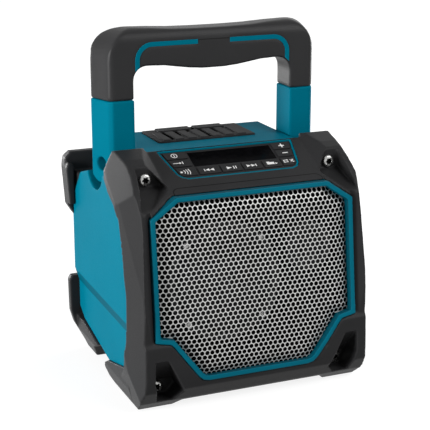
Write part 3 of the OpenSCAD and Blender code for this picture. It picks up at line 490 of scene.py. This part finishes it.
# Perforated grille sheet, crowned in the middle, with painted shade inside its holes and on its back
GRILLE_OUTLINE = ((46.1, 26.0), (51.5, 27.25), (55.7, 30.75), (79.4, 62.0), (93.2, 65.1), (92.7, 168.8),
                  (69.0, 185.2))
BORDER = 4.8
SHEET_INSET = 1.2
SHEET_Y = 4.4
SHEET_T = 1.2
HOLE_PITCH = 4.5
HOLE_ROW = 3.86
HOLE_START = Vector((-1.92, 26.72))
HOLE_R = 1.95
HOLE_SIDES = 12
HOLE_ROWS = 42
HOLE_COLUMNS = 22
HOLE_EDGE = 0.4
CROWN = 4.6
CROWN_RUN = 16.0
ONLY_INSIDE = 1
CDT_TOLERANCE = 1e-6


def inset(points, distance):
    moved = []
    for i, b in enumerate(points):
        u = (b - points[i - 1]).normalized()
        v = (points[(i + 1) % len(points)] - b).normalized()
        m = Vector((-u.y, u.x))
        n = Vector((-v.y, v.x))
        moved.append(b + (m + n) * distance / (1 + m.dot(n)))
    return moved


def edge_distance(point, outline):
    """Distance from a point to an outline, negative outside."""
    best = math.inf
    inside = False
    for i, b in enumerate(outline):
        a = outline[i - 1]
        along = b - a
        t = max(0.0, min(1.0, (point - a).dot(along) / along.length_squared))
        best = min(best, (point - a - along * t).length)
        if (a.y > point.y) != (b.y > point.y):
            if point.x < a.x + (point.y - a.y) / (b.y - a.y) * (b.x - a.x):
                inside = not inside
    return best if inside else -best


def add_grille():
    right = [Vector(p) for p in GRILLE_OUTLINE]
    left = [Vector((-p.x, p.y)) for p in reversed(right)]
    outline = inset(right + left, SHEET_INSET)
    opening = inset(right + left, BORDER)
    points = list(outline)
    edges = [(i, (i + 1) % len(outline)) for i in range(len(outline))]
    owner = [-1] * len(outline)
    hole = 0
    for row in range(HOLE_ROWS):
        for column in range(-HOLE_COLUMNS, HOLE_COLUMNS + 1):
            middle = HOLE_START + Vector(((column + 0.5 * (row % 2)) * HOLE_PITCH, row * HOLE_ROW))
            if edge_distance(middle, outline) < HOLE_R + HOLE_EDGE:
                continue
            first = len(points)
            for k in range(HOLE_SIDES):
                turn = 2 * math.pi * k / HOLE_SIDES
                points.append(middle + HOLE_R * Vector((math.cos(turn), math.sin(turn))))
                owner.append(hole)
                edges.append((first + k, first + (k + 1) % HOLE_SIDES))
            hole += 1
    flat, _, triangles, source, _, _ = delaunay_2d_cdt(points, edges, [], ONLY_INSIDE, CDT_TOLERANCE)
    owner = [owner[s[0]] if s else -2 for s in source]
    sheet = [t for t in triangles if owner[t[0]] < 0 or len({owner[i] for i in t}) > 1]
    rims = {}
    for t in sheet:
        for i in range(3):
            a, b = t[i], t[(i + 1) % 3]
            key = (min(a, b), max(a, b))
            rims[key] = None if key in rims else (a, b)
    count = len(flat)
    vertices = []
    for depth in (0.0, SHEET_T):
        for p in flat:
            fall = 1 - max(0.0, min(1.0, edge_distance(p, opening) / CROWN_RUN))
            crown = CROWN * (1 - fall * fall)
            vertices.append(FRONT @ Vector((p.x, SHEET_Y + depth - crown, p.y)))
    faces = [tuple(t) for t in sheet]
    faces += [tuple(i + count for i in reversed(t)) for t in sheet]
    faces += [(e[1], e[0], e[0] + count, e[1] + count) for e in rims.values() if e]
    obj = piece("grille_sheet", vertices, faces, "body", LOOKS["grille_steel"])
    # Painted shade: the hole walls and back of the sheet take the near-black finish
    obj.data.materials.append(PRIMER_AND_SHADE)
    for polygon in obj.data.polygons:
        polygon.material_index = 0 if max(polygon.vertices) < count else 1
    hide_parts("grille")


add_grille()

# Roll surround of the woofer, parted at its crest so that its inner half follows the cone
WOOFER = (-24.0, 107.0)
ROLL_MIDDLE = 41.5
ROLL_DEPTH = 10.9
ROLL_OUTER = 2.9
ROLL_INNER = 2.1
ROLL_PART = 1.0
ROLL_SIDES = 96
ROLL_STEPS = 8


def add_roll(name, start, end, body):
    turns = [math.radians(start + (end - start) * i / ROLL_STEPS) for i in range(ROLL_STEPS + 1)]
    profile = [(r, t) for r, run in ((ROLL_OUTER, turns), (ROLL_INNER, turns[::-1])) for t in run]
    count = len(profile)
    vertices = []
    faces = []
    for k in range(ROLL_SIDES):
        around = 2 * math.pi * k / ROLL_SIDES
        for r, t in profile:
            reach = ROLL_MIDDLE + r * math.cos(t)
            x = WOOFER[0] + reach * math.cos(around)
            z = WOOFER[1] + reach * math.sin(around)
            vertices.append(FRONT @ Vector((x, ROLL_DEPTH - r * math.sin(t), z)))
        beyond = (k + 1) % ROLL_SIDES
        for i in range(count):
            j = (i + 1) % count
            faces.append((k * count + i, k * count + j, beyond * count + j, beyond * count + i))
    obj = piece(name, vertices, faces, body, LOOKS["soft_black"], True)
    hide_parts("woofer_surround")


add_roll("surround_outer", 0.0, 90.0 - ROLL_PART, "body")
add_roll("surround_inner", 90.0 + ROLL_PART, 180.0, "cone")

# Guard screws: domed heads with a six-lobed socket, painted near-black inside as shade
SCREWS = ((-85.0, -48.0, 193.0), (85.0, -48.0, 193.0), (-85.0, -69.0, 17.5), (85.0, -69.0, 17.5))
SCREW_R = 5.4
SCREW_CORE = 0.05
SCREW_SIDES = 48
SOCKET_R = 2.55
SOCKET_LOBE = 0.45
SOCKET_LOBES = 6
SOCKET_RINGS = 3
# Rings of the socket: share of its lobed radius, and height
SOCKET_PROFILE = ((0.0, 0.9), (0.92, 0.9), (0.97, 2.6), (1.06, 2.95))
# Rings of the head and the shank: radius and height
HEAD_PROFILE = ((3.9, 2.75), (4.6, 2.4), (5.1, 1.7), (SCREW_R, 0.8), (SCREW_R, 0.0), (1.95, 0.0),
                (1.95, -17.0), (0.3, -18.0))


def lobed(turn):
    return SOCKET_R + SOCKET_LOBE * math.cos(SOCKET_LOBES * turn)


def add_screws():
    vertices = []
    faces = []
    rings = [(*ring, True) for ring in SOCKET_PROFILE] + [(*ring, False) for ring in HEAD_PROFILE]
    for x, seat, z in SCREWS:
        first = len(vertices)
        for size, height, by_lobe in rings:
            for k in range(SCREW_SIDES):
                turn = 2 * math.pi * k / SCREW_SIDES
                r = max(size * lobed(turn) if by_lobe else size, SCREW_CORE)
                vertices.append((x + r * math.cos(turn), seat - height, z + r * math.sin(turn)))
        for ring in range(len(rings) - 1):
            for k in range(SCREW_SIDES):
                a = first + ring * SCREW_SIDES + k
                b = first + ring * SCREW_SIDES + (k + 1) % SCREW_SIDES
                faces.append((a, b, b + SCREW_SIDES, a + SCREW_SIDES))
        faces.append(tuple(first + k for k in range(SCREW_SIDES)))
        last = first + (len(rings) - 1) * SCREW_SIDES
        faces.append(tuple(last + k for k in range(SCREW_SIDES)))
    obj = piece("guard_screws", vertices, faces, "body", LOOKS["steel"])
    # Painted shade: the socket's faces take the near-black finish
    obj.data.materials.append(PRIMER_AND_SHADE)
    for polygon in obj.data.polygons:
        rim = [v % (len(rings) * SCREW_SIDES) for v in polygon.vertices]
        polygon.material_index = 1 if max(rim) < SOCKET_RINGS * SCREW_SIDES else 0
    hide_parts("bezel_screws")


add_screws()

# Printed key icons, thin slabs let into the key tops: place on the panel and flat shapes, in millimetres
KEY_TOP = 0.9
ICON_SINK = 0.06
ICON_RISE = 0.08


def box_shape(x0, y0, x1, y1):
    return [(x0, y0), (x1, y0), (x1, y1), (x0, y1)]


def ring_shapes(cx, cy, outer, inner, start=0.0, end=360.0, steps=24):
    shapes = []
    for i in range(steps):
        a = math.radians(start + (end - start) * i / steps)
        b = math.radians(start + (end - start) * (i + 1) / steps)
        shapes.append([(cx + r * math.cos(t), cy + r * math.sin(t))
                       for r, t in ((inner, a), (outer, a), (outer, b), (inner, b))])
    return shapes


def disc_shape(cx, cy, r, steps=20):
    return [(cx + r * math.cos(2 * math.pi * i / steps), cy + r * math.sin(2 * math.pi * i / steps))
            for i in range(steps)]


def arrow(x, y, reach, half):
    return [(x, y - half), (x + reach, y), (x, y + half)]


ICONS = {
    "power": ((-50.0, 32.6), ring_shapes(0, 0, 2.9, 2.3) + [box_shape(-0.35, -1.5, 0.35, 1.5)]),
    "source": ((-49.6, 22.2), [box_shape(-5.0, -0.35, 1.2, 0.35), arrow(0.8, 0, 2.0, 1.3),
                              box_shape(3.4, -1.7, 4.1, 1.7)]),
    "pairing": ((-48.0, 9.8), [disc_shape(-3.4, 0, 1.2)] + ring_shapes(-3.4, 0, 3.6, 2.9, -42, 42, 10)
                + ring_shapes(-3.4, 0, 5.8, 5.1, -34, 34, 10) + ring_shapes(-3.4, 0, 8.0, 7.3, -28, 28, 10)),
    "previous": ((-26.4, 9.6), [box_shape(-4.6, -1.6, -3.9, 1.6), arrow(0.2, 0, -3.8, 1.7),
                                arrow(4.4, 0, -3.8, 1.7)]),
    "play": ((-5.9, 9.4), [arrow(-4.4, 0, 4.6, 1.8), box_shape(1.6, -1.7, 2.4, 1.7),
                           box_shape(3.6, -1.7, 4.4, 1.7)]),
    "next": ((12.6, 9.4), [arrow(-4.4, 0, 3.8, 1.7), arrow(-0.2, 0, 3.8, 1.7),
                           box_shape(3.9, -1.6, 4.6, 1.6)]),
    "folder": ((32.0, 10.0), [box_shape(-4.6, -1.8, 2.2, 1.2), box_shape(-4.6, 1.2, -1.8, 2.0),
                             arrow(3.0, -1.0, 2.4, 1.2)]),
    "repeat": ((48.5, 10.4), [box_shape(-4.9, 1.0, -1.4, 1.6), box_shape(-4.3, -1.6, -0.8, -1.0),
                             box_shape(-4.9, -0.4, -4.3, 1.0), box_shape(-1.4, -1.0, -0.8, 0.4),
                             arrow(-1.6, 1.3, 1.5, 0.9), arrow(-4.1, -1.3, -1.5, 0.9),
                             [(1.0, -1.6), (1.8, -1.6), (4.0, 1.0), (4.0, 1.7), (3.3, 1.7)],
                             [(1.0, 1.6), (3.3, -1.7), (4.0, -1.7), (4.0, -1.0), (1.8, 1.6)],
                             arrow(3.8, 1.3, 1.4, 0.9), arrow(3.8, -1.3, 1.4, 0.9)]),
    "plus": ((50.7, 32.4), [box_shape(-2.6, -0.6, 2.6, 0.6), box_shape(-0.6, 0.6, 0.6, 2.6),
                           box_shape(-0.6, -2.6, 0.6, -0.6)]),
    "minus": ((50.0, 22.0), [box_shape(-2.6, -0.55, 2.6, 0.55)]),
}


def add_icons():
    for key, ((cx, cy), shapes) in ICONS.items():
        vertices = []
        faces = []
        for shape in shapes:
            first = len(vertices)
            n = len(shape)
            for rise in (KEY_TOP - ICON_SINK, KEY_TOP + ICON_RISE):
                vertices += [PANEL @ Vector((cx + x, cy + y, rise)) for x, y in shape]
            faces.append(tuple(first + i for i in reversed(range(n))))
            faces.append(tuple(first + n + i for i in range(n)))
            for i in range(n):
                j = (i + 1) % n
                faces.append((first + i, first + j, first + n + j, first + n + i))
        piece("icon_" + key, vertices, faces, "key_" + key, INK)


add_icons()

# Studio lamps: place in metres, power in watts, size in metres
LAMPS = (
    ("key_left", (-1.8, -0.3, 0.36), 40.0, 0.8),
    ("rim_left", (-0.6, 1.4, 0.12), 12.0, 0.6),
    ("fill_right", (1.6, 0.6, 0.4), 24.0, 0.8),
    ("front_right", (0.45, -0.65, 0.62), 2.4, 0.4),
    ("top", (0.5, -0.9, 1.3), 5.0, 0.6),
)
LAMP_AIM = Vector((0, 0, 0.14))


def add_lamps():
    for name, place, power, size in LAMPS:
        data = bpy.data.lights.new(name, "AREA")
        data.energy = power
        data.size = size
        lamp = bpy.data.objects.new(name, data)
        lamp.location = place
        lamp.rotation_euler = (LAMP_AIM - Vector(place)).to_track_quat("-Z", "Y").to_euler()
        scene.collection.objects.link(lamp)


def seen_directly(tree):
    """One for camera, mirror and see-through rays."""
    path = tree.nodes.new("ShaderNodeLightPath")
    mirrored = math_node(tree, "MAXIMUM", path.outputs["Is Camera Ray"], path.outputs["Is Glossy Ray"])
    return math_node(tree, "MAXIMUM", mirrored, path.outputs["Is Transmission Ray"])


# White surroundings for rays that see them directly, plain light for the rest
WORLD_LIGHT = 0.18
WORLD_SEEN = 1.0
FLOOR_TONE = 0.28
FLOOR_NEAR = 0.15
FLOOR_FAR = 0.6
FLOOR_NEAR_SEEN = 0.86
FLOOR_FAR_SEEN = 1.0
FLOOR_HALF = 4.0
FLOOR_Z = -0.0004


def add_world():
    world = bpy.data.worlds.new("studio")
    world.use_nodes = True
    tree = world.node_tree
    sky = tree.nodes["Background"]
    sky.inputs["Color"].default_value = (1, 1, 1, 1)
    tree.links.new(map_range(tree, seen_directly(tree), WORLD_LIGHT, WORLD_SEEN), sky.inputs["Strength"])
    scene.world = world


def add_floor():
    material = bpy.data.materials.new("floor_paper")
    material.use_nodes = True
    tree = material.node_tree
    tree.nodes.remove(tree.nodes["Principled BSDF"])
    paper = tree.nodes.new("ShaderNodeBsdfDiffuse")
    paper.inputs["Color"].default_value = (FLOOR_TONE, FLOOR_TONE, FLOOR_TONE, 1)
    lift = tree.nodes.new("ShaderNodeEmission")
    place = tree.nodes.new("ShaderNodeTexCoord")
    away = tree.nodes.new("ShaderNodeVectorMath")
    away.operation = "LENGTH"
    tree.links.new(place.outputs["Object"], away.inputs[0])
    bright = map_range(tree, away.outputs["Value"], FLOOR_NEAR_SEEN, FLOOR_FAR_SEEN, FLOOR_NEAR, FLOOR_FAR)
    tree.links.new(math_node(tree, "MULTIPLY", bright, seen_directly(tree)), lift.inputs["Strength"])
    both = tree.nodes.new("ShaderNodeAddShader")
    tree.links.new(paper.outputs[0], both.inputs[0])
    tree.links.new(lift.outputs[0], both.inputs[1])
    tree.links.new(both.outputs[0], tree.nodes["Material Output"].inputs["Surface"])
    mesh = bpy.data.meshes.new("floor")
    corners = ((-1, -1), (1, -1), (1, 1), (-1, 1))
    mesh.from_pydata([(FLOOR_HALF * x, FLOOR_HALF * y, FLOOR_Z) for x, y in corners], [], [(0, 1, 2, 3)])
    mesh.materials.append(material)
    floor = bpy.data.objects.new("floor", mesh)
    scene.collection.objects.link(floor)


add_lamps()
add_world()
add_floor()

scene.view_settings.view_transform = "Standard"
